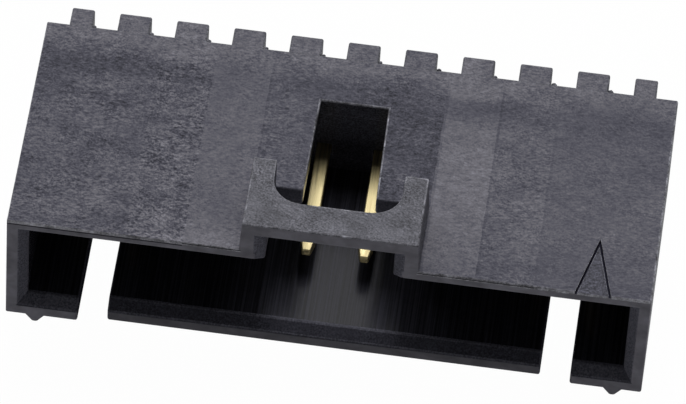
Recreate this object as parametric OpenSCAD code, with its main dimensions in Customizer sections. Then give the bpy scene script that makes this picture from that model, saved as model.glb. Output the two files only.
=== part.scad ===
// Shrouded right-angle pin header: a moulded housing with a latch hood over its mouth, and a row of
// bent square pins pressed through its back wall.
// The board's surface is z = 0, the row of tails stands on y = 0, and the mouth opens towards -y.

/* [Row] */
// Number of pins in the row
positions = 10; // [4:1:24]
// Distance from one pin to the next
pitch = 2.54; // [2:0.01:3.96]
// Distance from the last pin to the end of the housing
end_margin = 2.54; // [2.3:0.01:5]

/* [Housing] */
// Depth from the mouth to the outside of the back wall
body_depth = 11.43; // [10.5:0.01:16]
// Height from the underside of the end blocks to the top of the top wall
body_h = 6.35; // [5.8:0.01:9]
// Depth of the cavity, from the mouth to the inside of the back wall
cavity_depth = 9.3; // [7:0.01:10]
// Thickness of the top wall at the mouth, in front of the lead-in
top_lip = 0.56; // [0.4:0.01:1]
// Thickness of the side walls at the mouth, in front of the lead-in
side_lip = 0.5; // [0.3:0.01:1]
// Thickness of the bottom wall at the mouth, in front of the lead-in
bottom_lip = 0.62; // [0.4:0.01:1]
// How far the lead-in narrows the mouth at each wall
lead_in = 0.4; // [0.1:0.01:0.6]
// Depth of the lead-in behind the mouth
lead_in_depth = 0.52; // [0.2:0.01:1]
// How much higher the bottom wall lies between the key slots than at the ends
floor_step = 0.33; // [0.1:0.01:0.6]

/* [Key slots] */
// Width of the two slots through the bottom wall
slot_w = 1.32; // [0.8:0.01:2]

/* [Board rails] */
// Distance from the end of the housing to the middle of a rail
rail_inset = 1.27; // [0.8:0.01:1.8]
// Height of a rail, which holds the end blocks off the board
rail_h = 0.42; // [0.2:0.01:1]
// Width of a rail's flat crest on the board
rail_crest = 0.22; // [0.1:0.01:0.4]
// Width of a rail where it leaves the housing
rail_root = 0.84; // [0.5:0.01:1.2]

/* [Latch hood] */
// Width of the hood, across both legs
hood_w = 7.62; // [6:0.01:9]
// Depth of the hood behind the mouth
hood_depth = 3.81; // [3.2:0.01:5]
// Height of the hood above the top wall
hood_h = 1.72; // [1.2:0.01:3]
// Thickness of the hood's roof
roof_t = 0.72; // [0.4:0.01:1]
// Thickness of the hood's legs
leg_t = 1.02; // [0.6:0.01:1.3]
// Depth of the bar across the front of the roof
bar_depth = 1.52; // [1:0.01:1.9]
// Depth of the lead-in at the hood's legs
leg_lead_depth = 0.34; // [0.2:0.01:1]
// Radius of the corners of the cut behind the bar
roof_corner_r = 1.27; // [0.5:0.01:1.3]
// How far the top wall reaches forwards between the hood's legs
shelf_run = 0.1; // [0.1:0.01:1.2]
// Width of the window through the top wall, at its back edge
window_w = 2.98; // [2:0.01:4]
// How much wider the window is at the shelf
window_taper = 0.2; // [0:0.01:0.6]
// Depth of the window's back edge behind the mouth
window_depth = 8.89; // [6:0.01:9.2]

/* [Pin-one mark] */
// Width of the triangle at the mouth
mark_w = 1.56; // [0.8:0.01:2]
// Length of the triangle, from the mouth to its point
mark_l = 3.1; // [1.5:0.01:4]
// Depth of the triangle's field below the top wall's surface
mark_t = 0.06; // [0.02:0.01:0.15]
// Width of the groove along the triangle's two long sides
groove_w = 0.09; // [0.05:0.01:0.2]
// Depth of that groove below the triangle's field
groove_t = 0.1; // [0.05:0.01:0.2]

/* [Parting groove] */
// Height of the groove that the mould's parting leaves across the front of the top wall
parting_h = 0.05; // [0.03:0.01:0.12]
// Depth of the groove behind the mouth
parting_t = 0.04; // [0.02:0.01:0.2]
// Distance from the top wall's surface down to the groove, at the end away from the pin-one mark
parting_drop = 0.22; // [0.05:0.01:0.3]
// The same distance over the mould's inserts, which end one pitch left and two pitches right of the hood
insert_drop = 0.08; // [0.05:0.01:0.3]

/* [Back comb] */
// Depth of the ribs that stand between the bent pins
rib_depth = 1.03; // [0.9:0.01:2]
// Free width between two ribs
rib_gap = 1.12; // [0.9:0.01:1.4]
// Width of the rib at each end of the comb
end_rib_w = 1; // [0.4:0.01:1.2]
// How far the ribs' tops lie below the top wall's surface
rib_drop = 0.04; // [0:0.01:0.5]

/* [Pins] */
// Width of the square wire
pin_w = 0.64; // [0.4:0.01:0.8]
// Height of the pins' axes above the underside of the end blocks
pin_axis_h = 2.6; // [2.3:0.01:4]
// Length of a pin in front of the back wall
mating_l = 6; // [3:0.01:6.5]
// Distance from the back wall to the axis of the tails
tail_offset = 0.64; // [0.6:0.01:1.5]
// Inner radius of the bend
bend_r = 0.3; // [0.1:0.01:0.3]
// Length of a tail below the board's surface
tail_l = 3.3; // [2:0.01:5]
// Length of the taper at each end of a pin
tip_l = 0.62; // [0.3:0.01:1]
// Width of the flat at each end of a pin
tip_flat = 0.38; // [0.2:0.01:0.4]
// Gap between a pin and its hole, on each side
pin_fit = 0.01; // [0:0.005:0.05]

/* [Hidden] */
$fn = 48;
// Overrun of cuts and overlap of joined blocks
over = 0.1;

length = (positions - 1) * pitch + 2 * end_margin;
back_y = -tail_offset;
mouth_y = back_y - body_depth;
cavity_back_y = mouth_y + cavity_depth;
under_z = rail_h;
top_z = under_z + body_h;
ceiling_z = top_z - top_lip - lead_in;
end_floor_z = under_z + bottom_lip + lead_in;
mid_floor_z = end_floor_z + floor_step;

last_pin_x = (positions - 1) / 2 * pitch;
slot_x = last_pin_x - pitch / 2;
rail_x = length / 2 - rail_inset;
rib_w = pitch - rib_gap;

hood_top_z = top_z + hood_h;
roof_z = hood_top_z - roof_t;
throat_w = hood_w - 2 * leg_t;
hood_back_y = mouth_y + hood_depth;
shelf_y = hood_back_y - shelf_run;
window_back_y = mouth_y + window_depth;

pin_z = under_z + pin_axis_h;
pin_tip_y = cavity_back_y - mating_l;
bend_axis_r = bend_r + pin_w / 2;
hole_w = pin_w + 2 * pin_fit;

plastic = "#4a4a51";
gold = "#dcc990";

function pin_name(i) = str("pin_", i < 10 ? "0" : "", i);
function pin_x(i) = (i - 1) * pitch - last_pin_x;

PIN_NUMBERS = [for (i = [1 : positions]) i];

// A profile drawn in y and z, swept across x and centred on it
module across(width) {
    rotate([90, 0, 90])
        linear_extrude(width, center = true)
            children();
}

// A profile drawn in x and z, swept back from the mouth
module backwards(depth) {
    translate([0, mouth_y + depth, 0])
        rotate([90, 0, 0])
            linear_extrude(depth)
                children();
}

// The plan of a space that flares towards the mouth
module flared_plan(width, flare_depth, back) {
    half = width / 2;
    flare = half + lead_in;
    polygon([
        [-flare, mouth_y - over], [flare, mouth_y - over], [flare, mouth_y],
        [half, mouth_y + flare_depth], [half, back],
        [-half, back], [-half, mouth_y + flare_depth], [-flare, mouth_y]
    ]);
}

// The cavity above a floor at the given height, with a lead-in at each of its walls
module cavity(floor_z) {
    intersection() {
        translate([0, 0, under_z])
            linear_extrude(body_h)
                flared_plan(length - 2 * (side_lip + lead_in), lead_in_depth, cavity_back_y);
        across(length)
            polygon([
                [mouth_y - over, floor_z - lead_in], [mouth_y, floor_z - lead_in],
                [mouth_y + lead_in_depth, floor_z], [cavity_back_y, floor_z],
                [cavity_back_y, ceiling_z], [mouth_y + lead_in_depth, ceiling_z],
                [mouth_y, ceiling_z + lead_in], [mouth_y - over, ceiling_z + lead_in]
            ]);
    }
}

// The lower floors of the cavity, outside the key slots
module end_pockets() {
    intersection() {
        cavity(end_floor_z);
        for (side = [-1, 1])
            translate([side * (slot_x + length / 2), (mouth_y + cavity_back_y) / 2, top_z / 2])
                cube([length, cavity_depth + 2 * over, top_z], center = true);
    }
}

// The outline of the housing seen from the mouth, with the bottom raised between the key slots
module body_outline() {
    half = length / 2;
    polygon([
        [-half, under_z], [-slot_x, under_z],
        [-slot_x, under_z + floor_step], [slot_x, under_z + floor_step],
        [slot_x, under_z], [half, under_z],
        [half, top_z], [-half, top_z]
    ]);
}

// A rail seen from the mouth: a low ridge with sloping flanks
module rail_profile() {
    crest = rail_crest / 2;
    root = rail_root / 2;
    polygon([
        [-crest, 0], [crest, 0], [root, under_z],
        [root, under_z + over], [-root, under_z + over], [-root, under_z]
    ]);
}

module rails() {
    for (side = [-1, 1])
        backwards(body_depth)
            translate([side * rail_x, 0])
                rail_profile();
}

module key_slots() {
    for (side = [-1, 1])
        translate([side * slot_x - slot_w / 2, mouth_y - over, under_z - over])
            cube([slot_w, cavity_depth + over, mid_floor_z - under_z + 2 * over]);
}

module hood() {
    translate([-hood_w / 2, mouth_y, top_z - over])
        cube([hood_w, hood_depth, hood_h + over]);
}

// The way in under the hood: through the top wall up to the shelf, and above the shelf behind it
module throat() {
    translate([0, 0, ceiling_z - over])
        linear_extrude(roof_z - ceiling_z + over)
            flared_plan(throat_w, leg_lead_depth, shelf_y);
    translate([-throat_w / 2, shelf_y - over, top_z])
        cube([throat_w, shelf_run + 2 * over, roof_z - top_z]);
}

// The cut in the hood's roof, open at the back, with round corners behind the bar
module roof_cut() {
    half = throat_w / 2;
    front_y = mouth_y + bar_depth;
    run = hood_depth - bar_depth + over;
    translate([0, 0, roof_z - over])
        linear_extrude(roof_t + 2 * over) {
            translate([-half, front_y + roof_corner_r])
                square([throat_w, run - roof_corner_r]);
            translate([roof_corner_r - half, front_y])
                square([throat_w - 2 * roof_corner_r, run]);
            for (side = [-1, 1])
                translate([side * (half - roof_corner_r), front_y + roof_corner_r])
                    circle(roof_corner_r);
        }
}

// The window, which widens towards the shelf
module window() {
    back = window_w / 2;
    front = back + window_taper / 2;
    translate([0, 0, ceiling_z - over])
        linear_extrude(top_z - ceiling_z + 2 * over)
            polygon([
                [-front, shelf_y - over], [front, shelf_y - over], [front, shelf_y],
                [back, window_back_y], [-back, window_back_y], [-front, shelf_y]
            ]);
}

// The triangle's plan, with its two long sides moved in by the inset
module mark_plan(inset) {
    half = mark_w / 2;
    flank = half / mark_l;
    side = norm([half, mark_l]);
    base = half - inset * side / mark_l + flank * over;
    polygon([[-base, -over], [base, -over], [0, mark_l - inset * side / half]]);
}

// A sunk triangle with a deeper groove along its two long sides
module pin_one_mark() {
    field_z = top_z - mark_t;
    translate([pin_x(positions), mouth_y, field_z]) {
        linear_extrude(mark_t + over)
            mark_plan(0);
        translate([0, 0, -groove_t])
            linear_extrude(groove_t + over)
                difference() {
                    mark_plan(0);
                    mark_plan(groove_w);
                }
    }
}

// A stretch of the parting groove, from one place on the row to another
module parting_stretch(left_x, right_x, drop) {
    if (right_x > left_x)
        translate([left_x, mouth_y - over, top_z - drop - parting_h])
            cube([right_x - left_x, parting_t + over, parting_h]);
}

module parting_groove() {
    insert_x = -hood_w / 2 - pitch;
    parting_stretch(-length / 2 - over, insert_x, parting_drop);
    parting_stretch(insert_x, -hood_w / 2, insert_drop);
    parting_stretch(hood_w / 2, hood_w / 2 + 2 * pitch, insert_drop);
}

// One rib of the comb, from its left edge
module rib(left_x, width) {
    bottom_z = under_z + floor_step;
    translate([left_x, back_y - over, bottom_z])
        cube([width, rib_depth + over, top_z - rib_drop - bottom_z]);
}

module comb() {
    for (i = [1 : positions - 1])
        rib(pin_x(i) + rib_gap / 2, rib_w);
    rib(last_pin_x + rib_gap / 2, end_rib_w);
    rib(-last_pin_x - rib_gap / 2 - end_rib_w, end_rib_w);
}

module pin_holes() {
    for (i = PIN_NUMBERS)
        translate([pin_x(i) - hole_w / 2, cavity_back_y - over, pin_z - hole_w / 2])
            cube([hole_w, back_y - cavity_back_y + 2 * over, hole_w]);
}

module housing() {
    color(plastic)
        difference() {
            union() {
                backwards(body_depth)
                    body_outline();
                rails();
                hood();
                comb();
            }
            cavity(mid_floor_z);
            end_pockets();
            key_slots();
            throat();
            roof_cut();
            window();
            pin_one_mark();
            parting_groove();
            pin_holes();
        }
}

// A pin seen from the side: the mating length, the bend and the tail
module pin_side() {
    bend_y = -bend_axis_r;
    bend_z = pin_z - bend_axis_r;
    front = pin_tip_y + tip_l;
    foot = -tail_l + tip_l;
    half = pin_w / 2;
    flat = tip_flat / 2;
    polygon([
        [pin_tip_y, pin_z - flat], [front, pin_z - half], [bend_y, pin_z - half],
        [bend_y, pin_z + half], [front, pin_z + half], [pin_tip_y, pin_z + flat]
    ]);
    intersection() {
        translate([bend_y, bend_z])
            difference() {
                circle(bend_axis_r + half);
                circle(bend_axis_r - half);
            }
        translate([bend_y, bend_z])
            square(bend_axis_r + half);
    }
    polygon([
        [-half, bend_z], [-half, foot], [-flat, -tail_l],
        [flat, -tail_l], [half, foot], [half, bend_z]
    ]);
}

// The tapers across the row: what lies beside them is cut off the pin's two ends
module tip_flanks() {
    half = pin_w / 2;
    flat = tip_flat / 2;
    for (side = [-1, 1]) {
        translate([0, 0, pin_z - pin_w])
            linear_extrude(2 * pin_w)
                polygon([
                    [side * flat, pin_tip_y], [side * half, pin_tip_y + tip_l],
                    [side * pin_w, pin_tip_y + tip_l], [side * pin_w, pin_tip_y - over],
                    [side * flat, pin_tip_y - over]
                ]);
        translate([0, pin_w, 0])
            rotate([90, 0, 0])
                linear_extrude(2 * pin_w)
                    polygon([
                        [side * flat, -tail_l], [side * half, -tail_l + tip_l],
                        [side * pin_w, -tail_l + tip_l], [side * pin_w, -tail_l - over],
                        [side * flat, -tail_l - over]
                    ]);
    }
}

module pin(i) {
    color(gold)
        translate([pin_x(i), 0, 0])
            difference() {
                across(pin_w)
                    pin_side();
                tip_flanks();
            }
}

housing();
for (i = PIN_NUMBERS)
    pin(i);
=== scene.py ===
"""Looks of a right-angle shrouded pin header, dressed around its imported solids.

The header is one black moulded housing with a latch hood over its mouth, and ten bent square pins with a
gold plating. Its lengths are written in millimetres and become metres where they meet the scene.
"""
from __future__ import annotations

import logging
import math
import random
from dataclasses import dataclass, field
from enum import Enum
from typing import Any, Callable

import bmesh
import bpy
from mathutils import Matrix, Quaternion, Vector, noise


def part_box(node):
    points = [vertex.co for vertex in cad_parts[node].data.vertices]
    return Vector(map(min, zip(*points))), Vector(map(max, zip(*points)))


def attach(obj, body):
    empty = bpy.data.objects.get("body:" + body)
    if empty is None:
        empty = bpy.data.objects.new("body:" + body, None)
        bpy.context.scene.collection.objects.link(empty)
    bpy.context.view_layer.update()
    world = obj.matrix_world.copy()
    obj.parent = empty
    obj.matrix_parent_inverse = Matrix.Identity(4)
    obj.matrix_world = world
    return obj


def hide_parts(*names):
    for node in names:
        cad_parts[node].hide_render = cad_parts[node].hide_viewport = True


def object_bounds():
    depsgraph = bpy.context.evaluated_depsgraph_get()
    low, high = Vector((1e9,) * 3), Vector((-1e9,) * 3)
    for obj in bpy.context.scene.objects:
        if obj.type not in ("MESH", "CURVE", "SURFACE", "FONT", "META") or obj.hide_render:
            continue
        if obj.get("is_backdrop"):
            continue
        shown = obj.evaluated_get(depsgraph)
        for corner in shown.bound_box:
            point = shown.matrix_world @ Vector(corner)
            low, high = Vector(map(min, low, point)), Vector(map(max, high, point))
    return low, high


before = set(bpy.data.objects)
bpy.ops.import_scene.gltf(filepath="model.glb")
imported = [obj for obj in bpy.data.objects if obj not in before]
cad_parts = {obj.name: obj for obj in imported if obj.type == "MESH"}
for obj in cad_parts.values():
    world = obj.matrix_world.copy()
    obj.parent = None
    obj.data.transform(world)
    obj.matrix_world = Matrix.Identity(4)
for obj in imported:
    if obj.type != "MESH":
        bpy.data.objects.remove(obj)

MM = 0.001
BODY = "root"

# Points closer than this many millimetres are one point.
WELD = 0.001
# Nearly all values of a noise pattern lie in this range.
NOISE_RANGE = (0.3, 0.7)
# The values on a ramp go up to this, and are divided by it there so that each stays below one.
RAMP_TOP = 2.0
# A face looks along an axis if its normal's share there is above FACING, and is sloped if that is less, but
# above SLOPED.
FACING = 0.9
SLOPED = 0.3

log = logging.getLogger("pin_header")


def linear(code: str) -> tuple[float, float, float, float]:
    """Turns an sRGB hex colour into linear light, with the numbers of the sRGB standard.

    Args:
        code: Six hex digits after a hash sign.

    Returns:
        Red, green, blue and an alpha of one.
    """
    shares = [int(code[start:start + 2], 16) / 255 for start in (1, 3, 5)]
    light = [share / 12.92 if share <= 0.04045 else ((share + 0.055) / 1.055) ** 2.4 for share in shares]
    return (*light, 1.0)


def add_node(tree: bpy.types.NodeTree, kind: str, inputs: dict[Any, Any] | None = None,
             **settings: Any) -> bpy.types.Node:
    """Adds a shader node with its settings and links.

    Args:
        tree: The node tree that takes the node.
        kind: The node's type without its common beginning.
        inputs: Sockets by name or number, each with a value or the output socket that it is linked to.
        settings: Properties of the node.

    Returns:
        The new node.
    """
    node = tree.nodes.new("ShaderNode" + kind)
    for name, value in settings.items():
        setattr(node, name, value)
    for socket, value in (inputs or {}).items():
        if isinstance(value, bpy.types.NodeSocket):
            tree.links.new(value, node.inputs[socket])
        else:
            node.inputs[socket].default_value = value
    return node


def new_tree(name: str) -> tuple[bpy.types.Material, bpy.types.NodeTree]:
    """Makes a material with an empty node tree.

    Args:
        name: The finish's name.

    Returns:
        The material and its tree.
    """
    material = bpy.data.materials.new(name)
    material.use_nodes = True
    material.node_tree.nodes.clear()
    return material, material.node_tree


def place_mesh(shape: bmesh.types.BMesh, name: str) -> bpy.types.Object:
    """Puts a finished mesh in the scene as a piece that rides on the header.

    Args:
        shape: The mesh, which is freed.
        name: The piece's name.

    Returns:
        The new piece.
    """
    mesh = bpy.data.meshes.new(name)
    shape.to_mesh(mesh)
    shape.free()
    piece = bpy.data.objects.new(name, mesh)
    bpy.context.scene.collection.objects.link(piece)
    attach(piece, BODY)
    return piece


class Passage(Enum):
    """How a ramp goes from one stop to the next, in Blender's words."""

    SUDDEN = "CONSTANT"
    GRADUAL = "EASE"


@dataclass(frozen=True)
class Mark:
    """A noise pattern on a finish, such as fibre streaks or blotches.

    Attributes:
        size: The size of one mark along x, y and z in millimetres.
        strength: How far the pattern lightens or darkens the colour, as a share of it.
        detail: How many finer layers the pattern has.
        swirl: How much the pattern is bent.
        turn: How far the pattern is turned in the plane of the board, in degrees.
        patch: The size of the patches where the pattern comes out strongly, in millimetres, or 0 for none.
        patch_range: The values of the patches' noise between which the pattern grows from faint to strong.
        patch_share: The pattern's share where it is faint and where it is strong.
    """

    size: tuple[float, float, float]
    strength: float
    detail: float = 2.0
    swirl: float = 0.0
    turn: float = 0.0
    patch: float = 0.0
    patch_range: tuple[float, float] = (0.36, 0.66)
    patch_share: tuple[float, float] = (0.7, 1.3)

    def field(self, tree: bpy.types.NodeTree, place: bpy.types.NodeSocket) -> bpy.types.NodeSocket:
        """Adds the pattern's nodes.

        Args:
            tree: The finish's node tree.
            place: The place on the object in metres.

        Returns:
            The pattern, between minus and plus its strength, or a little more in strong patches.
        """
        turned = (0, 0, math.radians(self.turn))
        stretched = add_node(tree, "Mapping", {
            "Vector": place, "Rotation": turned, "Scale": [length * MM for length in self.size]},
            vector_type="TEXTURE")
        pattern = add_node(tree, "TexNoise", {
            "Vector": stretched.outputs[0], "Scale": 1.0, "Detail": self.detail, "Distortion": self.swirl})
        low, high = NOISE_RANGE
        spread = add_node(tree, "MapRange", {
            "Value": pattern.outputs[0], "From Min": low, "From Max": high,
            "To Min": -self.strength, "To Max": self.strength}).outputs[0]
        if not self.patch:
            return spread
        area = add_node(tree, "TexNoise", {"Vector": place, "Scale": 1 / (self.patch * MM), "Detail": 1.0})
        low, high = self.patch_range
        faint, strong = self.patch_share
        share = add_node(tree, "MapRange", {
            "Value": area.outputs[0], "From Min": low, "From Max": high, "To Min": faint, "To Max": strong})
        return add_node(tree, "Math", {0: spread, 1: share.outputs[0]}, operation="MULTIPLY").outputs[0]


@dataclass(frozen=True)
class Flecks:
    """Single glass fibre ends that lie bare on the surface and catch the light.

    Attributes:
        spacing: The mean distance of the places where a fleck may be, in millimetres.
        size: A fleck's radius in millimetres.
        share: The share of the places that hold one.
        strength: How much lighter than the finish a fleck is, as a share of its colour.
    """

    spacing: float
    size: float
    share: float
    strength: float

    def field(self, tree: bpy.types.NodeTree, place: bpy.types.NodeSocket) -> bpy.types.NodeSocket:
        """Adds the flecks' nodes. A fleck is at its full strength to half its radius, and fades to its rim.

        Args:
            tree: The finish's node tree.
            place: The place on the object in metres.

        Returns:
            The flecks' strength, and zero between them.
        """
        cell = add_node(tree, "TexVoronoi", {"Vector": place, "Scale": 1 / (self.spacing * MM)})
        reach = self.size / self.spacing
        dot = add_node(tree, "MapRange", {
            "Value": cell.outputs["Distance"], "From Min": reach, "From Max": reach / 2,
            "To Min": 0.0, "To Max": self.strength}).outputs[0]
        lot = add_node(tree, "SeparateColor", {0: cell.outputs["Color"]}).outputs[0]
        drawn = add_node(tree, "Math", {0: lot, 1: 1 - self.share}, operation="GREATER_THAN").outputs[0]
        return add_node(tree, "Math", {0: dot, 1: drawn}, operation="MULTIPLY").outputs[0]


@dataclass(frozen=True)
class Panel:
    """A stretch of the top wall that one insert of the mould made.

    Attributes:
        start: The panel's left border, in pitches from the middle of the row.
        shade: The panel's lightness against the finish's own colour.
        mottle: The strength of the marks on it.
        sag_shade: How much painted shade it takes where the wall sank, as a share of the colour.
        front: Its painted lightness at the mouth against the rest of it, for the way light falls there.
        seam: How much darker the line at its left border is, as a share of the colour.
    """

    start: float
    shade: float
    mottle: float
    sag_shade: float
    front: float
    seam: float = 0.0


@dataclass(frozen=True)
class Depth:
    """The top wall's state at one place behind the mouth.

    Attributes:
        spot: The place as a share of the wall's depth.
        light: The painted lightness there, for the light on the wall's slight sag.
        sag_shade: How much painted shade the wall's sag takes there, from 0 to 1.
        front: How much of the painted light or shade at the mouth's edge still shows there, from 0 to 1.
        back: How much of the painted even, light strip over the back wall shows there, from 0 to 1.
    """

    spot: float
    light: float
    sag_shade: float = 0.0
    front: float = 0.0
    back: float = 0.0


@dataclass(frozen=True)
class Span:
    """The place and size of the top wall, in millimetres.

    Attributes:
        pitch: The row's pitch.
        length: The wall's length.
        mouth_y: The mouth's place.
        depth: The wall's depth with the comb.
    """

    pitch: float
    length: float
    mouth_y: float
    depth: float


@dataclass(frozen=True)
class TopWall:
    """How the top wall's look changes across the row and behind the mouth.

    Several inserts of the mould made the wall side by side. As it cooled, it sank a little in front of the
    solid back wall. The sag is not in the mesh, so a band of painted shade runs there, and painted light
    makes the strip over the back wall even and light.

    Attributes:
        panels: The mould's inserts, from left to right.
        depths: The wall's state from the mouth to the back.
        back_shade: The painted lightness of the strip over the back wall.
        back_mottle: The strength of the marks on that strip.
        seam_w: The width of a border's line in millimetres.
        wobble: How the borders wander sideways, with a strength in metres.
        drift: How the band of painted shade wanders forwards and back, with a strength in metres.
    """

    panels: tuple[Panel, ...]
    depths: tuple[Depth, ...]
    back_shade: float = 1.36
    back_mottle: float = 0.6
    seam_w: float = 0.05
    wobble: Mark = Mark((0.15, 0.4, 0.4), 0.03 * MM)
    drift: Mark = Mark((2.5, 1.5, 1.5), 0.2 * MM)

    def stops(self, span: Span) -> list[tuple[float, ...]]:
        """Lists the inserts' borders.

        Args:
            span: The wall's size.

        Returns:
            Places as shares of the length, each with a shade, a strength of the marks, the share of painted
            shade where the wall sank, and the painted lightness at the mouth.
        """
        stops = []
        for panel in self.panels:
            spot = panel.start * span.pitch / span.length + 0.5
            look = (panel.mottle, panel.sag_shade, panel.front)
            if panel.seam:
                stops.append((spot - self.seam_w / span.length, panel.shade * (1 - panel.seam), *look))
            stops.append((max(0.0, spot), panel.shade, *look))
        return stops

    def fields(self, tree: bpy.types.NodeTree, place: bpy.types.NodeSocket,
               span: Span) -> tuple[bpy.types.NodeSocket, bpy.types.NodeSocket]:
        """Adds the nodes for the inserts, with painted shade where the wall sank, and painted light or
        shade at the mouth and over the back wall.

        Args:
            tree: The finish's node tree.
            place: The place on the object in metres.
            span: The wall's size.

        Returns:
            The shade and the strength of the marks.
        """
        axes = add_node(tree, "SeparateXYZ", {0: place})
        half = span.length / 2
        ways = (
            (0, self.wobble, -half, half, self.stops(span), Passage.SUDDEN),
            (1, self.drift, span.mouth_y, span.mouth_y + span.depth,
             [(depth.spot, depth.light, depth.sag_shade, depth.front, depth.back) for depth in self.depths],
             Passage.GRADUAL))
        values = []
        for axis, wander, start, end, stops, passage in ways:
            shift = wander.field(tree, place)
            moved = add_node(tree, "Math", {0: axes.outputs[axis], 1: shift}, operation="ADD").outputs[0]
            where = add_node(tree, "MapRange", {
                "Value": moved, "From Min": start * MM, "From Max": end * MM}).outputs[0]
            values += self.ramp(tree, where, stops, passage)
        shade, mottle, panel_sag_shade, panel_mouth_light, light, sag_shade, front, back = values
        # Painted shade where the wall sank, painted light or shade at the mouth, and painted light over the
        # back wall.
        sunk = add_node(tree, "Math", {0: panel_sag_shade, 1: sag_shade}, operation="MULTIPLY").outputs[0]
        kept = add_node(tree, "Math", {0: 1.0, 1: sunk}, operation="SUBTRACT").outputs[0]
        painted_mouth_light = add_node(tree, "Mix", {0: front, 2: 1.0, 3: panel_mouth_light}).outputs[0]
        for share in (light, kept, painted_mouth_light):
            shade = add_node(tree, "Math", {0: shade, 1: share}, operation="MULTIPLY").outputs[0]
        shade = add_node(tree, "Mix", {0: back, 2: shade, 3: self.back_shade}).outputs[0]
        mottle = add_node(tree, "Mix", {0: back, 2: mottle, 3: self.back_mottle}).outputs[0]
        return shade, mottle

    def ramp(self, tree: bpy.types.NodeTree, where: bpy.types.NodeSocket,
             stops: list[tuple[float, ...]], passage: Passage) -> list[bpy.types.NodeSocket]:
        """Adds a ramp that holds four values.

        Args:
            tree: The finish's node tree.
            where: The place on the ramp.
            stops: Places, each with its four values.
            passage: How the ramp goes from one stop to the next.

        Returns:
            The sockets of the four values.
        """
        node = add_node(tree, "ValToRGB", {0: where})
        node.color_ramp.interpolation = passage.value
        elements = node.color_ramp.elements
        elements.remove(elements[1])
        for number, (spot, *values) in enumerate(stops):
            stop = elements[0] if number == 0 else elements.new(spot)
            stop.position = spot
            stop.color = [value / RAMP_TOP for value in values]
        split = add_node(tree, "SeparateColor", {0: node.outputs[0]})
        parts = (*split.outputs, node.outputs["Alpha"])
        return [add_node(tree, "Math", {0: part, 1: RAMP_TOP}, operation="MULTIPLY").outputs[0]
                for part in parts]


@dataclass(frozen=True)
class MouldedPlastic:
    """Black glass-filled polyester, as it comes from the mould.

    The pigment is black, but glass fibres near the skin scatter light, so the eye sees a dark grey with a
    faint violet cast, mottled where fibres lie at the surface and smoother where the mould was polished.

    Attributes:
        name: The finish's name.
        colour: The mean colour as sRGB.
        roughness: The mean roughness.
        marks: The patterns of fibre and flow.
        deep: The colour of the darker places as sRGB, if it differs: the pigment's blue shows there.
        flecks: Bare fibre ends, if the finish has them.
        wall: How the look changes over the top wall, if the finish is the top wall's.
        relief: How far the marks stand out, in millimetres.
        specular: The strength of the surface's own reflection.
        deep_tones: The lightness up to which the deep colour shows alone, and from which it shows no more.
        rough_swing: How much a mark changes the roughness: a lighter place is a little smoother.
        ior: The polyester's index of refraction.
    """

    name: str
    colour: str
    roughness: float
    marks: tuple[Mark, ...]
    deep: str = ""
    flecks: Flecks | None = None
    wall: TopWall | None = None
    relief: float = 0.004
    specular: float = 0.2
    deep_tones: tuple[float, float] = (0.7, 1.4)
    rough_swing: float = -0.1
    ior: float = 1.55

    def material(self, span: Span) -> bpy.types.Material:
        """Makes the finish's material.

        Args:
            span: The top wall's size.

        Returns:
            The material.
        """
        material, tree = new_tree(self.name)
        place = add_node(tree, "TexCoord").outputs["Object"]
        marks = self.marks[0].field(tree, place)
        for mark in self.marks[1:]:
            other = mark.field(tree, place)
            marks = add_node(tree, "Math", {0: marks, 1: other}, operation="ADD").outputs[0]
        shade = None
        if self.wall:
            shade, mottle = self.wall.fields(tree, place, span)
            marks = add_node(tree, "Math", {0: marks, 1: mottle}, operation="MULTIPLY").outputs[0]
        # One plus half a mark, squared: to the eye a mark then lightens about as much as it darkens.
        root = add_node(tree, "Math", {0: marks, 1: 0.5, 2: 1.0}, operation="MULTIPLY_ADD").outputs[0]
        tone = add_node(tree, "Math", {0: root, 1: 2.0}, operation="POWER").outputs[0]
        if self.flecks:
            spots = self.flecks.field(tree, place)
            tone = add_node(tree, "Math", {0: tone, 1: spots}, operation="ADD").outputs[0]
        if shade:
            tone = add_node(tree, "Math", {0: tone, 1: shade}, operation="MULTIPLY").outputs[0]
        base: Any = linear(self.colour)[:3]
        if self.deep:
            low, high = self.deep_tones
            lit = add_node(tree, "MapRange", {"Value": tone, "From Min": low, "From Max": high}).outputs[0]
            base = add_node(tree, "Mix", {0: lit, 6: linear(self.deep), 7: linear(self.colour)},
                            data_type="RGBA").outputs[2]
        colour = add_node(tree, "VectorMath", {0: base, "Scale": tone}, operation="SCALE")
        rough = add_node(tree, "Math", {0: marks, 1: self.rough_swing, 2: self.roughness},
                         operation="MULTIPLY_ADD")
        bump = add_node(tree, "Bump", {"Height": marks, "Distance": self.relief * MM, "Strength": 1.0})
        shader = add_node(tree, "BsdfPrincipled", {
            "Base Color": colour.outputs[0], "Roughness": rough.outputs[0], "Normal": bump.outputs[0],
            "IOR": self.ior, "Specular IOR Level": self.specular})
        add_node(tree, "OutputMaterial", {"Surface": shader.outputs[0]})
        return material


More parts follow.
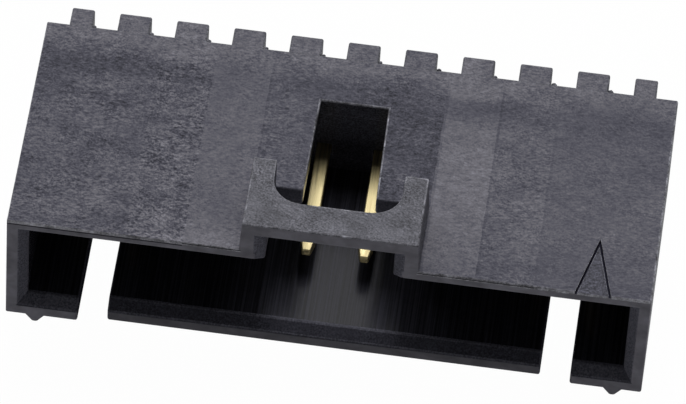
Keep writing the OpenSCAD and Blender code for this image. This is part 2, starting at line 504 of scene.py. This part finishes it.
@dataclass(frozen=True)
class GoldPlate:
    """Drawn square brass wire with a thin gold plating.

    Drawing leaves fine lines along the wire, so the eye sees a pale gold with a soft reflection that is
    streaked along the wire. Real lines are a few thousandths of a millimetre wide, too fine for the render,
    so they are drawn as coarse as they need to show.

    Attributes:
        name: The finish's name.
        colour: The reflection's colour as sRGB.
        roughness: The mean roughness.
        line: The width of a drawing line in millimetres.
        run: The length of a drawing line in millimetres.
        contrast: How much the lines change the colour.
        layers: How many finer layers the lines have.
        rough_swing: How much a line changes the roughness.
        relief: How far the lines stand out, in millimetres.
    """

    name: str = "gold_plated_wire"
    colour: str = "#beb188"
    roughness: float = 0.5
    line: float = 0.1
    run: float = 3.5
    contrast: float = 0.4
    layers: float = 3.0
    rough_swing: float = 0.3
    relief: float = 0.004

    def material(self, bend_y: float) -> bpy.types.Material:
        """Makes the finish's material.

        Args:
            bend_y: Where the wire turns down into its tail, in metres.

        Returns:
            The material.
        """
        material, tree = new_tree(self.name)
        place = add_node(tree, "TexCoord").outputs["Object"]
        sizes = ((self.line, self.run, self.line), (self.line, self.line, self.run))
        level, upright = (Mark(size, self.contrast, self.layers).field(tree, place) for size in sizes)
        depth = add_node(tree, "SeparateXYZ", {0: place}).outputs[1]
        in_tail = add_node(tree, "Math", {0: depth, 1: bend_y}, operation="GREATER_THAN").outputs[0]
        lines = add_node(tree, "Mix", {0: in_tail, 2: level, 3: upright}).outputs[0]
        tone = add_node(tree, "Math", {0: lines, 1: 1.0}, operation="ADD").outputs[0]
        gold = linear(self.colour)[:3]
        colour = add_node(tree, "VectorMath", {0: gold, "Scale": tone}, operation="SCALE")
        rough = add_node(tree, "Math", {0: lines, 1: self.rough_swing, 2: self.roughness},
                         operation="MULTIPLY_ADD")
        bump = add_node(tree, "Bump", {"Height": lines, "Distance": self.relief * MM, "Strength": 1.0})
        shader = add_node(tree, "BsdfPrincipled", {
            "Base Color": colour.outputs[0], "Metallic": 1.0, "Roughness": rough.outputs[0],
            "Normal": bump.outputs[0]})
        add_node(tree, "OutputMaterial", {"Surface": shader.outputs[0]})
        return material


@dataclass(frozen=True)
class WhitePaper:
    """The white sweep below the header: seen white, with the header's shadow faintly on it.

    Attributes:
        name: The finish's name.
        colour: The paper's colour as sRGB.
        seen_white: The share of plain white in what the camera and reflections see.
        white: The strength of that white.
    """

    name: str = "white_paper"
    colour: str = "#f2f2f2"
    seen_white: float = 0.985
    white: float = 1.0

    def material(self) -> bpy.types.Material:
        """Makes the paper's material.

        Returns:
            The material.
        """
        material, tree = new_tree(self.name)
        rays = add_node(tree, "LightPath")
        seen = rays.outputs["Is Camera Ray"]
        for ray in ("Is Glossy Ray", "Is Transmission Ray"):
            seen = add_node(tree, "Math", {0: seen, 1: rays.outputs[ray]}, operation="MAXIMUM").outputs[0]
        share = add_node(tree, "Math", {0: seen, 1: self.seen_white}, operation="MULTIPLY")
        paper = add_node(tree, "BsdfDiffuse", {"Color": linear(self.colour)})
        white = add_node(tree, "Emission", {"Color": linear("#ffffff"), "Strength": self.white})
        mix = add_node(tree, "MixShader", {0: share.outputs[0], 1: paper.outputs[0], 2: white.outputs[0]})
        add_node(tree, "OutputMaterial", {"Surface": mix.outputs[0]})
        return material


class Surface(Enum):
    """The mould surfaces that left different finishes on the housing, numbered as its material slots.

    Some of them have painted light or shade in their colours.
    """

    TOP = 0
    PLAIN = 1
    MARK = 2
    GROOVE = 3
    MOUTH = 4
    LIP = 5
    LEAD = 6
    SILL = 7
    FLOOR = 8
    CORE = 9
    STRIP = 10
    EDGE = 11


# Glass fibres are about 0.01 mm thick, and the lines of a drawn core are hardly wider, so they are too fine
# for the render. Fibres, grain, draw lines and flecks are drawn as coarse as they need to show.
FIBRES = Mark((0.28, 0.1, 0.1), 0.42, detail=3.0, turn=16, patch=2.4)
CROSSED = Mark((0.24, 0.1, 0.1), 0.36, detail=2.0, turn=-20, patch=1.7)
GRAIN = Mark((0.08, 0.08, 0.08), 0.46, patch=1.1)
BLOTCHES = Mark((1.3, 0.9, 0.9), 0.27, detail=3.0, swirl=0.4)
CLOUDS = Mark((4.5, 3.0, 3.0), 0.1, detail=2.0)
SKIN = (FIBRES, CROSSED, GRAIN, BLOTCHES, CLOUDS)
SAND = Mark((0.085, 0.085, 0.085), 0.5, detail=3.0, patch=1.5)
STREAKS = Mark((0.3, 0.1, 0.1), 0.26, detail=2.0, turn=-30, patch=1.7)
CHIPS = Mark((0.5, 0.5, 0.5), 0.8, detail=3.0)
DRAW_LINES = Mark((0.07, 8.0, 0.07), 0.75, detail=3.0)
SOFT = Mark((0.3, 0.3, 0.3), 0.08)

# The top wall's inserts, with painted shade where the wall sank, and painted light or shade at the mouth
# and over the back wall.
TOP_WALL = TopWall(
    panels=(
        Panel(-6.0, 0.95, 0.86, sag_shade=0.24, front=1.06),
        Panel(-3.5, 1.0, 1.08, sag_shade=0.26, front=1.34, seam=0.1),
        Panel(-2.5, 1.14, 0.45, sag_shade=0.09, front=1.38, seam=0.06),
        Panel(-1.5, 0.98, 0.68, sag_shade=0.18, front=1.0, seam=0.14),
        Panel(0.0, 0.69, 0.9, sag_shade=0.0, front=1.0),
        Panel(1.55, 1.46, 0.46, sag_shade=0.36, front=0.86, seam=0.2),
        Panel(2.5, 1.12, 0.64, sag_shade=0.27, front=0.86, seam=0.16),
        Panel(3.5, 1.04, 0.48, sag_shade=0.12, front=0.9, seam=0.1)),
    depths=(
        Depth(0.0, 1.0, front=1.0), Depth(0.06, 1.0, front=0.7), Depth(0.13, 1.01, front=0.25),
        Depth(0.22, 1.03), Depth(0.34, 1.05), Depth(0.55, 1.02), Depth(0.68, 0.98, sag_shade=0.1),
        Depth(0.74, 0.98, sag_shade=1.0), Depth(0.785, 0.98, sag_shade=0.9), Depth(0.83, 1.0, back=0.35),
        Depth(0.88, 1.0, back=0.85), Depth(1.0, 1.0, back=0.85)))

FINISHES = {
    # Spark erosion roughened this wall of the mould. The eye sees a slate mottle of crossed fibres, bluer
    # in its dark places, which changes from insert to insert.
    Surface.TOP: MouldedPlastic(
        "polyester_spark_eroded", "#5c5b62", 0.55, SKIN, deep="#585866",
        flecks=Flecks(0.6, 0.06, 0.06, 0.8), wall=TOP_WALL, specular=0.1),
    # The outer walls have a sandy grain with slanting streaks, and fibre ends as bright specks.
    Surface.PLAIN: MouldedPlastic(
        "polyester_moulded", "#63636b", 0.55, (SAND, STREAKS, BLOTCHES),
        flecks=Flecks(0.35, 0.06, 0.2, 0.8), specular=0.15),
    # The sunk mark is a little rougher than the wall round it, with more specks; its darker colour is
    # painted shade in the recess.
    Surface.MARK: MouldedPlastic(
        "polyester_sunk_mark", "#464652", 0.6, (FIBRES, CROSSED, GRAIN),
        flecks=Flecks(0.4, 0.06, 0.16, 1.0)),
    # Grooves and the key slots' sides have no gloss; their near-black colour is painted shade, as little
    # light gets into them.
    Surface.GROOVE: MouldedPlastic("polyester_groove", "#2a2a36", 0.8, (SOFT,), relief=0.001, specular=0.0),
    # Where the halves of the mould closed on each other, the plastic is smooth and even; its lighter grey
    # is partly painted light, for the light that the table throws on the front.
    Surface.MOUTH: MouldedPlastic(
        "polyester_shut_off", "#6e6d76", 0.55, (SOFT, BLOTCHES), relief=0.001, specular=0.15),
    # The front's lower edge is nearly as smooth; its darker colour is painted shade, for the table's shadow
    # in front of it.
    Surface.LIP: MouldedPlastic(
        "polyester_lower_lip", "#59585f", 0.6, (SOFT, BLOTCHES), relief=0.001, specular=0.12),
    # The lead-ins round the mouth look dull, with a fine grain and a few specks.
    Surface.LEAD: MouldedPlastic(
        "polyester_lead_in", "#60606a", 0.8, (SOFT, GRAIN), flecks=Flecks(0.4, 0.05, 0.1, 0.7),
        relief=0.001, specular=0.05),
    # The lower lead-in and the shelf face under the hood have the same grain; their darker colour is
    # painted shade.
    Surface.SILL: MouldedPlastic(
        "polyester_lower_lead_in", "#44444d", 0.8, (SOFT, GRAIN), flecks=Flecks(0.4, 0.05, 0.1, 0.7),
        relief=0.001, specular=0.05),
    # The core slid out over the floor, so fine lines run inwards on a smooth black skin.
    Surface.FLOOR: MouldedPlastic(
        "polyester_drawn_floor", "#323239", 0.2, (DRAW_LINES, SOFT), relief=0.001, specular=0.1),
    # The cavity's other walls have the same lines and a little more gloss.
    Surface.CORE: MouldedPlastic(
        "polyester_drawn_core", "#42424a", 0.14, (DRAW_LINES, SOFT), relief=0.001, specular=0.24),
    # Handling chipped the strip under the front's top edge, so bare fibres make it uneven; its pale colour
    # is partly that wear and partly a painted highlight along the edge.
    Surface.STRIP: MouldedPlastic(
        "polyester_worn_highlit_strip", "#8e8e96", 0.5, (CHIPS, GRAIN), flecks=Flecks(0.32, 0.11, 0.2, 0.7)),
    # Worn outer edges show as broken lines, pale partly from wear and partly from a painted highlight.
    Surface.EDGE: MouldedPlastic(
        "polyester_worn_highlit_edge", "#7a7a82", 0.5, (CHIPS, GRAIN), flecks=Flecks(0.32, 0.11, 0.25, 1.0)),
}


@dataclass
class SolidCopy:
    """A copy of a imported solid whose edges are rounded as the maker's tools leave them.

    Attributes:
        node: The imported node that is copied.
        piece: The name of the copy.
        round_mm: The rounding of an edge, in millimetres.
        segments: The number of faces across a rounding.
        sharp_deg: The angle above which an edge is rounded, in degrees.
        curved_deg: The angle above which an unrounded edge belongs to a curve, in degrees.
        flat_deg: The angle below which two faces are one flat face, in degrees.
    """

    node: str
    piece: str
    round_mm: float
    segments: int = 2
    sharp_deg: float = 28.0
    curved_deg: float = 0.6
    flat_deg: float = 0.5

    def welded(self) -> bmesh.types.BMesh:
        """Copies the solid's mesh, with its points joined and its flat faces whole.

        Returns:
            The copy.
        """
        shape = bmesh.new()
        shape.from_mesh(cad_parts[self.node].data)
        bmesh.ops.remove_doubles(shape, verts=shape.verts, dist=WELD * MM)
        flat = math.radians(self.flat_deg)
        bmesh.ops.dissolve_limit(shape, angle_limit=flat, verts=shape.verts, edges=shape.edges)
        return shape

    def weight_edges(self, shape: bmesh.types.BMesh,
                     share_of: Callable[[bmesh.types.BMEdge], float]) -> None:
        """Gives each sharp outer edge its share of the rounding, and shades curved faces smooth.

        Args:
            shape: The mesh.
            share_of: Tells the share for an edge.
        """
        weights = shape.edges.layers.float.new("bevel_weight_edge")
        sharp = math.radians(self.sharp_deg)
        curved = math.radians(self.curved_deg)
        for edge in shape.edges:
            if len(edge.link_faces) != 2:
                continue
            angle = edge.calc_face_angle()
            edge.smooth = angle < sharp
            if angle >= sharp and edge.is_convex:
                edge[weights] = share_of(edge)
            elif curved < angle < sharp:
                for face in edge.link_faces:
                    face.smooth = True

    def place(self, shape: bmesh.types.BMesh, edge_slot: int = -1) -> bpy.types.Object:
        """Rounds the copy and puts it in the scene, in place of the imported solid.

        Args:
            shape: The mesh, which is freed.
            edge_slot: The material slot of the roundings, or -1 to take the faces' own.

        Returns:
            The new piece.
        """
        piece = place_mesh(shape, self.piece)
        rounding = piece.modifiers.new("edge_rounding", "BEVEL")
        rounding.limit_method = "WEIGHT"
        rounding.width = self.round_mm * MM
        rounding.segments = self.segments
        rounding.use_clamp_overlap = False
        rounding.material = edge_slot
        for slot in range(edge_slot + 1):
            piece.data.materials.append(None)
        graph = bpy.context.evaluated_depsgraph_get()
        rounded = bpy.data.meshes.new_from_object(piece.evaluated_get(graph))
        piece.modifiers.clear()
        piece.data = rounded
        rounded.name = self.piece
        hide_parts(self.node)
        return piece


@dataclass
class Row:
    """The row of pins, and the sizes that the rest takes from it.

    Attributes:
        nodes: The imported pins' names, in order.
        round_mm: The rounding of the wire's edges, in millimetres.
        segments: The number of faces across such a rounding.
        bend: How far in front of the tail's back the drawing lines turn down, in widths of the wire.
    """

    nodes: list[str]
    round_mm: float = 0.05
    segments: int = 3
    bend: float = 1.5

    def middle_x(self, node: str) -> float:
        """Gives a pin's place along the row in millimetres."""
        low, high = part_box(node)
        return (low.x + high.x) / 2 / MM

    @property
    def pitch(self) -> float:
        """The distance from one pin to the next in millimetres."""
        return (self.middle_x(self.nodes[-1]) - self.middle_x(self.nodes[0])) / (len(self.nodes) - 1)

    def build(self, finish: GoldPlate) -> list[bpy.types.Object]:
        """Makes and dresses the pins.

        Args:
            finish: The plating.

        Returns:
            The pieces, one for each pin.
        """
        low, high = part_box(self.nodes[0])
        wire = high.x - low.x
        material = finish.material(high.y - self.bend * wire)
        pieces = []
        for node in self.nodes:
            copy = SolidCopy(node, node + "_plated", self.round_mm, self.segments)
            shape = copy.welded()
            copy.weight_edges(shape, lambda edge: 1.0)
            piece = copy.place(shape)
            piece.data.materials.append(material)
            pieces.append(piece)
        return pieces


@dataclass
class Housing:
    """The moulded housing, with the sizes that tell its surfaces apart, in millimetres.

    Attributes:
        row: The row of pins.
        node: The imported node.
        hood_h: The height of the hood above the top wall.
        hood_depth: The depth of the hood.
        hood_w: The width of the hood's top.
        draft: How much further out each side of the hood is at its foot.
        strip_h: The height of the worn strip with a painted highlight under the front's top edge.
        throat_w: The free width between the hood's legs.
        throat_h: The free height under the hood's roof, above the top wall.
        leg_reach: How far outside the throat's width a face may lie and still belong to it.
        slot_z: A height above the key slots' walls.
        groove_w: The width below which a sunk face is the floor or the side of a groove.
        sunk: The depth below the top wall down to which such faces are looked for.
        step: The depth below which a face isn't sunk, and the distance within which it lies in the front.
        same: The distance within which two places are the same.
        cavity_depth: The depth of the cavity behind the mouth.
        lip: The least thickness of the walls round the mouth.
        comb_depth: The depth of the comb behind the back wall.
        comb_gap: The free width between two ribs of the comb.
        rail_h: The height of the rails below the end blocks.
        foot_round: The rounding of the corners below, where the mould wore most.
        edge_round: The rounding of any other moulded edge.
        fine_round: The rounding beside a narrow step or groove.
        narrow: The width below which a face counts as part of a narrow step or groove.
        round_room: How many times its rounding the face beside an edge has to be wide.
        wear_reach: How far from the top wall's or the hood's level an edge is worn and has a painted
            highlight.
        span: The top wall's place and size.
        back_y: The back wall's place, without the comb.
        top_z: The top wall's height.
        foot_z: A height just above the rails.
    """

    row: Row
    node: str = "housing"
    hood_h: float = 1.72
    hood_depth: float = 3.81
    hood_w: float = 7.62
    draft: float = 0.09
    strip_h: float = 0.19
    throat_w: float = 5.58
    throat_h: float = 1.02
    leg_reach: float = 0.5
    slot_z: float = 2.0
    groove_w: float = 0.16
    sunk: float = 0.3
    step: float = 0.02
    same: float = 0.01
    cavity_depth: float = 9.3
    lip: float = 0.3
    comb_depth: float = 1.03
    comb_gap: float = 1.12
    rail_h: float = 0.42
    foot_round: float = 0.12
    edge_round: float = 0.075
    fine_round: float = 0.02
    narrow: float = 0.16
    round_room: float = 3.0
    wear_reach: float = 0.12
    span: Span = field(init=False)
    back_y: float = field(init=False)
    top_z: float = field(init=False)
    foot_z: float = field(init=False)

    def __post_init__(self) -> None:
        """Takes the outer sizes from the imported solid."""
        low, high = (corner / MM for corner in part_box(self.node))
        self.span = Span(self.row.pitch, high.x - low.x, low.y, high.y - low.y)
        self.back_y = high.y - self.comb_depth
        self.top_z = high.z - self.hood_h
        self.foot_z = low.z + 2 * self.rail_h

    def in_cavity(self, spot: Vector) -> bool:
        """Tells whether a place in millimetres lies on the cavity's or the window's walls."""
        return (self.span.mouth_y + self.same < spot.y < self.span.mouth_y + self.cavity_depth + self.lip
                and abs(spot.x) < self.span.length / 2 - self.lip
                and self.foot_z < spot.z < self.top_z - self.lip)

    def in_throat(self, spot: Vector) -> bool:
        """Tells whether a place in millimetres lies under the hood, on its roof or inside its legs."""
        return (spot.y < self.span.mouth_y + self.hood_depth
                and abs(spot.x) < self.throat_w / 2 + self.leg_reach
                and self.top_z - self.lip <= spot.z < self.top_z + self.throat_h)

    def in_front(self, face: bmesh.types.BMFace) -> bool:
        """Tells whether a face lies in the plane of the mouth."""
        front = self.span.mouth_y + self.step
        return face.normal.y < -FACING and face.calc_center_median().y / MM < front

    def in_groove(self, face: bmesh.types.BMFace) -> bool:
        """Tells whether a face is the floor or a side of a groove in the top wall or in its front."""
        spot = face.calc_center_median() / MM
        return (not self.in_front(face) and spot.y < self.back_y
                and self.step < self.top_z - spot.z < self.sunk
                and self.face_width(face) < self.groove_w)

    def face_width(self, face: bmesh.types.BMFace) -> float:
        """Estimates a face's width in millimetres from its area and its outline."""
        return 2 * face.calc_area() / face.calc_perimeter() / MM

    def surface_of(self, face: bmesh.types.BMFace) -> Surface:
        """Tells which surface of the mould made a face.

        Args:
            face: A face of the housing.

        Returns:
            The surface.
        """
        spot = face.calc_center_median() / MM
        normal = face.normal
        depth = self.top_z - spot.z
        if self.in_front(face):
            # The strip under the top edge takes its worn finish with a partly painted highlight.
            if 0.0 < depth < self.strip_h:
                return Surface.STRIP
            # Below the key slots' top, the front's faces take the lip's painted shade; above it, the
            # shut-off finish with its partly painted light.
            return Surface.LIP if spot.z < self.slot_z else Surface.MOUTH
        if self.in_groove(face):
            return Surface.GROOVE
        if normal.z > FACING and abs(depth) < self.sunk:
            # A sunk face takes the mark's painted shade.
            return Surface.MARK if depth > self.step and spot.y < self.back_y else Surface.TOP
        if self.in_throat(spot):
            return Surface.LEAD
        if not self.in_cavity(spot):
            return Surface.PLAIN
        # The key slots' sides take the groove's painted shade.
        if abs(normal.x) > FACING and spot.z < self.slot_z:
            return Surface.GROOVE
        sloped = SLOPED < abs(normal.y) < FACING
        # The shelf face under the hood and the lower lead-in between the key slots take the sill's painted
        # shade.
        shelf = normal.y < -FACING and spot.y < self.span.mouth_y + self.hood_depth
        # Of the slopes that look up, only the one between the key slots lies this near to the hood.
        if shelf or sloped and normal.z > SLOPED and abs(spot.x) < self.hood_w:
            return Surface.SILL
        if sloped:
            return Surface.LEAD
        return Surface.FLOOR if normal.z > FACING and spot.z < self.slot_z else Surface.CORE

    def edge_surface(self, spot: Vector) -> Surface:
        """Tells the finish of a rounded edge.

        Args:
            spot: The edge's place in millimetres.

        Returns:
            The surface: only outer edges level with the top wall or the hood are worn and have a painted
            highlight, and not at the back.
        """
        if self.in_cavity(spot) or self.in_throat(spot):
            return Surface.LEAD
        if spot.y > self.back_y - self.lip:
            return Surface.PLAIN
        levels = (self.top_z, self.top_z + self.hood_h)
        if min(abs(spot.z - level) for level in levels) < self.wear_reach:
            return Surface.EDGE
        if spot.z > self.slot_z:
            return Surface.MOUTH
        return Surface.SILL if spot.z > self.foot_z else Surface.LIP

    def rounding_share(self, edge: bmesh.types.BMEdge) -> float:
        """Tells how much of the fullest rounding an edge has.

        Args:
            edge: A sharp outer edge of the housing.

        Returns:
            The share, from 0 to 1.
        """
        width = min(self.face_width(face) for face in edge.link_faces)
        if width < self.round_room * self.fine_round:
            return 0.0
        run = (edge.verts[1].co - edge.verts[0].co).normalized()
        beside = (face for vert in edge.verts for face in vert.link_faces)
        if abs(run.z) > FACING and any(self.in_groove(face) for face in beside):
            return self.fine_round / self.foot_round
        height = max(vert.co.z for vert in edge.verts) / MM
        if abs(run.y) > FACING and height < self.foot_z:
            return min(1.0, width / self.round_room / self.foot_round)
        return (self.edge_round if width >= self.narrow else self.fine_round) / self.foot_round

    def part_front(self, shape: bmesh.types.BMesh) -> None:
        """Cuts the front so that the worn strip under its top edge, with its painted highlight, is a face
        of its own beside the hood.

        Args:
            shape: The mesh.
        """
        side = self.hood_w / 2
        level = self.top_z - self.strip_h
        up = Vector((0, 0, 1))
        along = Vector((1, 0, 0))
        for point, normal in ((up * level, up), (along * -side, along), (along * side, along)):
            faces = [face for face in shape.faces if self.in_front(face)]
            if normal is along:
                faces = [face for face in faces if face.calc_center_median().z / MM > level]
            parts = {part for face in faces for part in (face, *face.edges, *face.verts)}
            bmesh.ops.bisect_plane(
                shape, geom=list(parts), dist=WELD * MM, plane_co=point * MM, plane_no=normal)

    def draft_hood(self, shape: bmesh.types.BMesh) -> None:
        """Widens the hood a little towards its foot, as the mould's draft does.

        Args:
            shape: The mesh.
        """
        hood_back = self.span.mouth_y + self.hood_depth
        for vert in shape.verts:
            spot = vert.co / MM
            at_foot = abs(spot.z - self.top_z) < self.same and spot.y < hood_back + self.same
            if at_foot and abs(abs(spot.x) - self.hood_w / 2) < self.same:
                vert.co.x += math.copysign(self.draft, spot.x) * MM

    def build(self) -> bpy.types.Object:
        """Makes and dresses the housing.

        Returns:
            The piece.
        """
        copy = SolidCopy(self.node, "housing_moulding", self.foot_round)
        shape = copy.welded()
        self.part_front(shape)
        self.draft_hood(shape)
        for face in shape.faces:
            face.material_index = self.surface_of(face).value
        copy.weight_edges(shape, self.rounding_share)
        piece = copy.place(shape, Surface.EDGE.value)
        for face in piece.data.polygons:
            if face.material_index == Surface.EDGE.value:
                face.material_index = self.edge_surface(face.center / MM).value
        for surface in Surface:
            piece.data.materials[surface.value] = FINISHES[surface].material(self.span)
        return piece


@dataclass
class CombFlash:
    """The small burrs that the mould left in the comb, one at an end of each gap.

    Attributes:
        housing: The housing that carries them.
        seed: The start of the random draws.
        size: A burr's half sizes along x, y and z in millimetres.
        growth: The least and the most by which the sizes are multiplied.
        inset: The least and the most distance of a burr's middle from its rib, in millimetres.
        behind: How far the middle is behind the back wall, in millimetres.
        lump: How far the surface swells and shrinks, as a share of the size.
        lumpiness: How fast it does so across a burr.
        spread: How far apart the burrs are in that noise, for each millimetre between them.
    """

    housing: Housing
    seed: int = 7
    size: tuple[float, float, float] = (0.11, 0.1, 0.08)
    growth: tuple[float, float] = (0.8, 1.25)
    inset: tuple[float, float] = (0.08, 0.16)
    behind: float = 0.05
    lump: float = 0.45
    lumpiness: float = 1.7
    spread: float = 3.0

    def build(self) -> bpy.types.Object:
        """Makes and dresses the burrs.

        Returns:
            The piece.
        """
        housing = self.housing
        draw = random.Random(self.seed)
        shape = bmesh.new()
        for node in housing.row.nodes:
            rib = housing.row.middle_x(node) - housing.comb_gap / 2
            size = Vector(self.size) * draw.uniform(*self.growth)
            across = rib + draw.uniform(*self.inset)
            middle = Vector((across, housing.back_y + self.behind, housing.top_z - size.z))
            for vert in bmesh.ops.create_icosphere(shape, subdivisions=2, radius=1.0)["verts"]:
                swell = 1 + self.lump * noise.noise(vert.co * self.lumpiness + middle * self.spread)
                vert.co = (middle + vert.co * size * swell) * MM
        piece = place_mesh(shape, "comb_flash")
        piece.data.materials.append(FINISHES[Surface.PLAIN].material(housing.span))
        return piece


@dataclass(frozen=True)
class Softbox:
    """A soft light that looks at the header.

    Attributes:
        name: The light's name.
        place: Where its middle is, in metres.
        width: Its width along the row in metres.
        height: Its height in metres.
        power: Its power in watts.
    """

    name: str
    place: tuple[float, float, float]
    width: float
    height: float
    power: float

    def build(self) -> bpy.types.Object:
        """Puts the light in the scene.

        Returns:
            The light.
        """
        data = bpy.data.lights.new(self.name, "AREA")
        data.shape = "RECTANGLE"
        data.size = self.width
        data.size_y = self.height
        data.energy = self.power
        lamp = bpy.data.objects.new(self.name, data)
        lamp.location = self.place
        lamp.rotation_mode = "QUATERNION"
        lamp.rotation_quaternion = (-Vector(self.place)).to_track_quat("-Z", "Y")
        bpy.context.scene.collection.objects.link(lamp)
        return lamp


@dataclass(frozen=True)
class PhotoCamera:
    """The camera at the photograph's viewing angle.

    Attributes:
        target: The point in the middle of the picture, in millimetres.
        distance: The distance from the target in millimetres.
        azimuth: The angle round the header, from the mouth's side towards the marked pin, in degrees.
        elevation: The angle above the board in degrees.
        roll: The turn about the line of sight in degrees.
        focal: The focal length in millimetres.
        sensor: The width of the sensor in millimetres.
        nearest: The distance in metres below which nothing shows.
    """

    target: tuple[float, float, float] = (-0.047, -5.642, 3.0)
    distance: float = 330.39
    azimuth: float = 4.433
    elevation: float = 50.456
    roll: float = 3.797
    focal: float = 395.47
    sensor: float = 36.0
    nearest: float = 0.01

    def build(self) -> bpy.types.Object:
        """Puts the camera in the scene and makes it the scene's own.

        Returns:
            The camera.
        """
        around, above = math.radians(self.azimuth), math.radians(self.elevation)
        level = math.cos(above)
        back = Vector((math.sin(around) * level, -math.cos(around) * level, math.sin(above)))
        data = bpy.data.cameras.new("photo_camera")
        data.sensor_fit = "HORIZONTAL"
        data.sensor_width = self.sensor
        data.lens = self.focal
        data.clip_start = self.nearest
        camera = bpy.data.objects.new("photo_camera", data)
        camera.location = (Vector(self.target) + back * self.distance) * MM
        camera.rotation_mode = "QUATERNION"
        upright = (-back).to_track_quat("-Z", "Y")
        camera.rotation_quaternion = upright @ Quaternion((0, 0, 1), math.radians(self.roll))
        bpy.context.scene.collection.objects.link(camera)
        bpy.context.scene.camera = camera
        return camera


@dataclass
class Studio:
    """The plain white table with soft light from above and behind.

    Attributes:
        table_half: Half the side of the table in metres.
        sky: The colour of the dim room as sRGB.
        lights: The soft lights.
    """

    table_half: float = 3.0
    sky: str = "#464646"
    lights: tuple[Softbox, ...] = (
        Softbox("rear_softbox", (-0.03, 0.26, 0.22), width=0.46, height=0.46, power=1.07),
        Softbox("overhead_lamp", (-0.012, 0.135, 0.375), width=0.07, height=0.19, power=0.58),
    )

    def build(self) -> None:
        """Makes the table, the room's light, the lamps and the camera."""
        scene = bpy.context.scene
        scene.view_settings.view_transform = "Standard"
        self.build_table()
        world = bpy.data.worlds.new("dim_room")
        world.use_nodes = True
        world.node_tree.nodes["Background"].inputs["Color"].default_value = linear(self.sky)
        scene.world = world
        for light in self.lights:
            light.build()
        PhotoCamera().build()

    def build_table(self) -> bpy.types.Object:
        """Makes the table's white paper, level with the ends of the tails.

        Returns:
            The table.
        """
        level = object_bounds()[0].z
        shape = bmesh.new()
        half = self.table_half
        corners = [(-half, -half), (half, -half), (half, half), (-half, half)]
        shape.faces.new([shape.verts.new((x, y, level)) for x, y in corners])
        mesh = bpy.data.meshes.new("table_paper")
        shape.to_mesh(mesh)
        shape.free()
        mesh.materials.append(WhitePaper().material())
        table = bpy.data.objects.new("table_paper", mesh)
        bpy.context.scene.collection.objects.link(table)
        table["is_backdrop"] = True
        return table


def main() -> None:
    """Builds the header's pieces and the studio in order, and reports each piece."""
    logging.basicConfig(level=logging.INFO, format="%(name)s: %(message)s")
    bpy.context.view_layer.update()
    row = Row(sorted(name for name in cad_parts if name.startswith("pin_")))
    housing = Housing(row)
    pieces = [housing.build(), CombFlash(housing).build(), *row.build(GoldPlate())]
    for piece in pieces:
        log.info("made %s, %d points", piece.name, len(piece.data.vertices))
    Studio().build()


if __name__ == "__main__":
    main()
